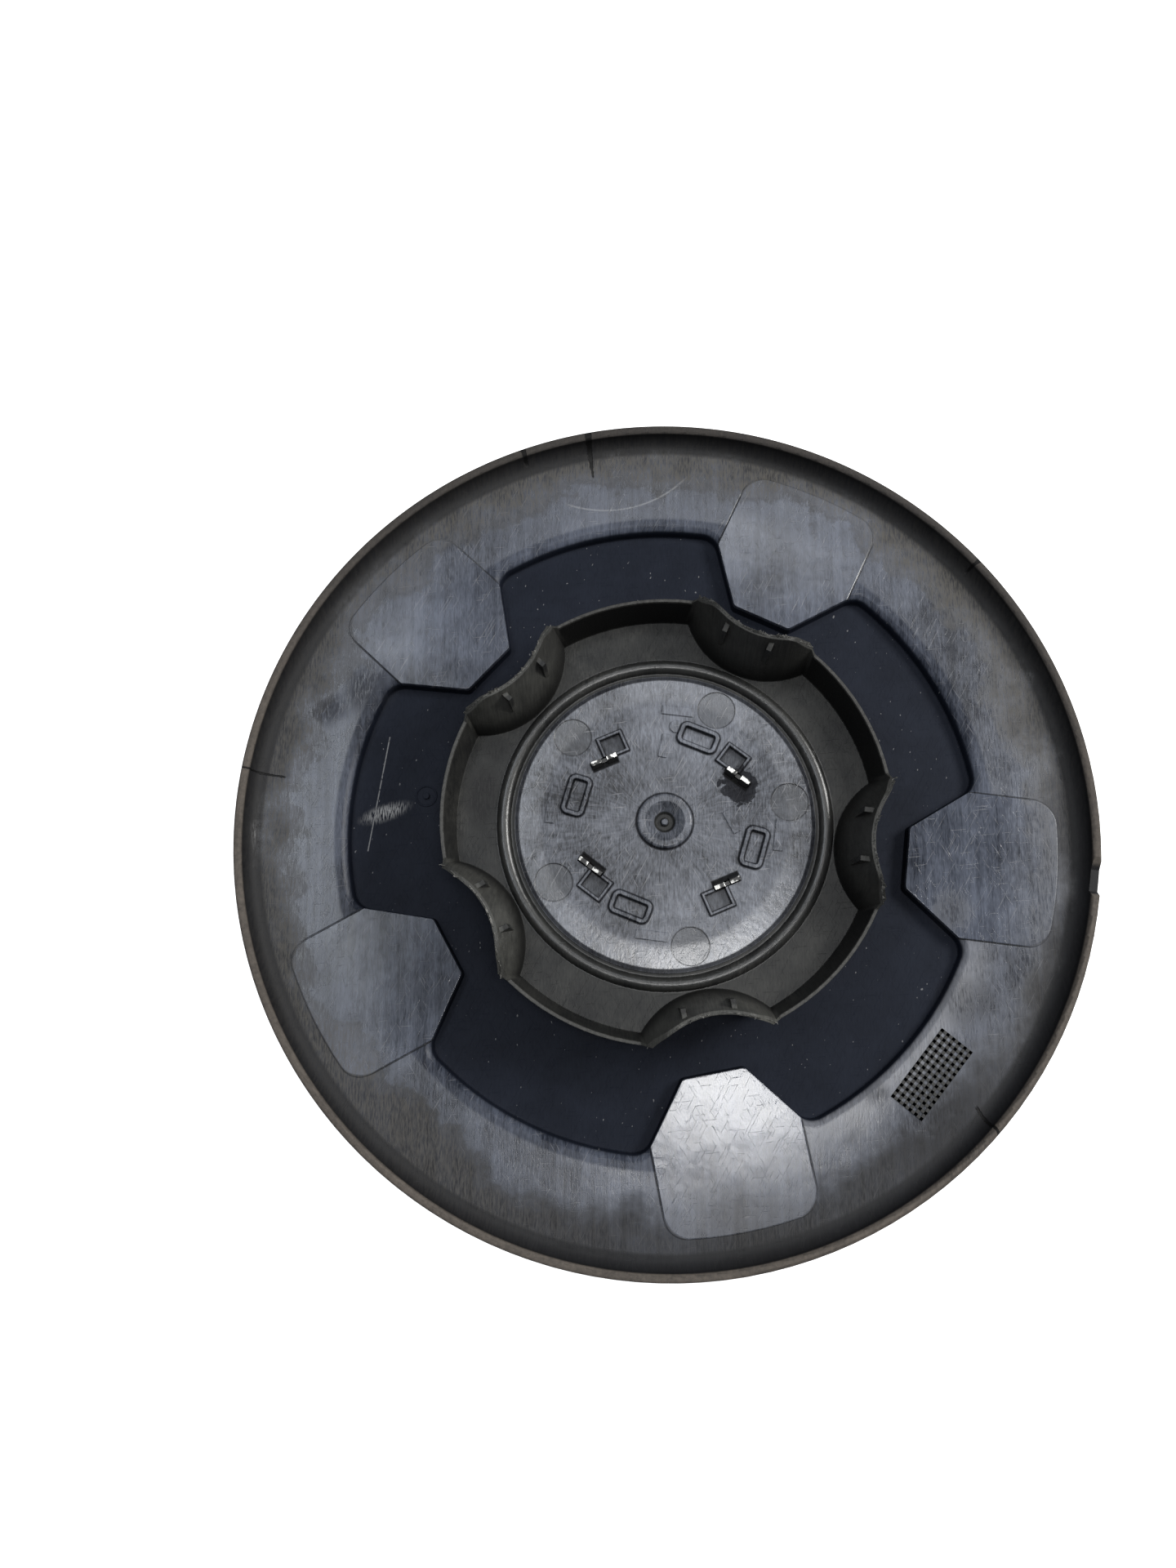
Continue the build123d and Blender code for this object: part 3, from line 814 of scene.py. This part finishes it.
def make_floor():
    half = 3.0
    corners = [(-half, -half, 0), (half, -half, 0), (half, half, 0), (-half, half, 0)]
    data = bpy.data.meshes.new("floor")
    data.from_pydata(corners, [], [(0, 1, 2, 3)])
    data.materials.append(floor_material())
    floor = bpy.data.objects.new("floor", data)
    scene.collection.objects.link(floor)


def make_world():
    """Dim, even studio light; the camera itself sees a white backdrop."""
    world = bpy.data.worlds.new("studio")
    world.use_nodes = True
    nodes = world.node_tree.nodes
    links = world.node_tree.links
    light = nodes["Background"]
    light.inputs["Color"].default_value = (0.92, 0.95, 1.0, 1.0)
    light.inputs["Strength"].default_value = 0.14
    backdrop = nodes.new("ShaderNodeBackground")
    backdrop.inputs["Color"].default_value = (1.0, 1.0, 1.0, 1.0)
    backdrop.inputs["Strength"].default_value = 1.0
    rays = nodes.new("ShaderNodeLightPath")
    pick = nodes.new("ShaderNodeMixShader")
    links.new(rays.outputs["Is Camera Ray"], pick.inputs[0])
    links.new(light.outputs[0], pick.inputs[1])
    links.new(backdrop.outputs[0], pick.inputs[2])
    links.new(pick.outputs[0], nodes["World Output"].inputs["Surface"])
    scene.world = world


def make_camera():
    """The photograph's camera, fitted to the fivefold pattern; its place is in millimetres."""
    data = bpy.data.cameras.new("camera")
    data.sensor_fit = "VERTICAL"
    data.sensor_height = 36.0
    data.lens = data.sensor_height * FOCAL_LENGTH / PHOTO_HEIGHT
    data.clip_start = 0.01
    data.clip_end = 20.0
    right = (0.99187, 0.12583, -0.0190)
    up = (-0.11943, 0.97202, 0.20225)
    back = (0.04392, -0.19834, 0.97914)
    place = Vector((-7.10, -57.19, 336.27)) * MM
    camera = bpy.data.objects.new("camera", data)
    camera.matrix_world = Matrix.Translation(place) @ Matrix((right, up, back)).transposed().to_4x4()
    scene.collection.objects.link(camera)
    scene.camera = camera


def softbox(name, place, target, size, power, colour=(1.0, 1.0, 1.0)):
    """A rectangular light that faces a target, in metres and watts."""
    data = bpy.data.lights.new(name, "AREA")
    data.shape = "RECTANGLE"
    data.size, data.size_y = size
    data.energy = power
    data.color = colour
    made = bpy.data.objects.new(name, data)
    made.location = place
    way = made.location - Vector(target)
    made.rotation_euler = way.to_track_quat("Z", "Y").to_euler()
    scene.collection.objects.link(made)


def make_lights():
    """One light from the right, and four that hang level where the glossy parts mirror them."""
    softbox("key_light", (0.62, 0.30, 0.62), (0, 0, 0.02), (0.30, 0.30), 7.5, (1.0, 0.99, 0.96))
    softbox("left_light", (-0.40, 0.11, 0.90), (-0.40, 0.11, 0.0), (0.24, 0.50), 2.7, (0.90, 0.95, 1.0))
    softbox("far_light", (0.04, 0.53, 0.90), (0.04, 0.53, 0.0), (0.44, 0.16), 1.4, (0.93, 0.96, 1.0))
    softbox("ceiling_light", (0.0, 0.21, 0.90), (0.0, 0.21, 0.0), (0.20, 0.14), 0.45)
    softbox("window_light", (0.105, -0.085, 0.906), (0.105, -0.085, 0.0), (0.20, 0.12), 2.1)


dress_nodes()
flash = flash_material()
for number in range(PETAL_COUNT):
    torn_flash(number, flash)
blank_grid(dark_mark_material())

make_floor()
make_world()
make_camera()
make_lights()

scene.view_settings.view_transform = "Standard"
scene.render.engine = "CYCLES"
scene.render.resolution_x = PHOTO_WIDTH
scene.render.resolution_y = PHOTO_HEIGHT
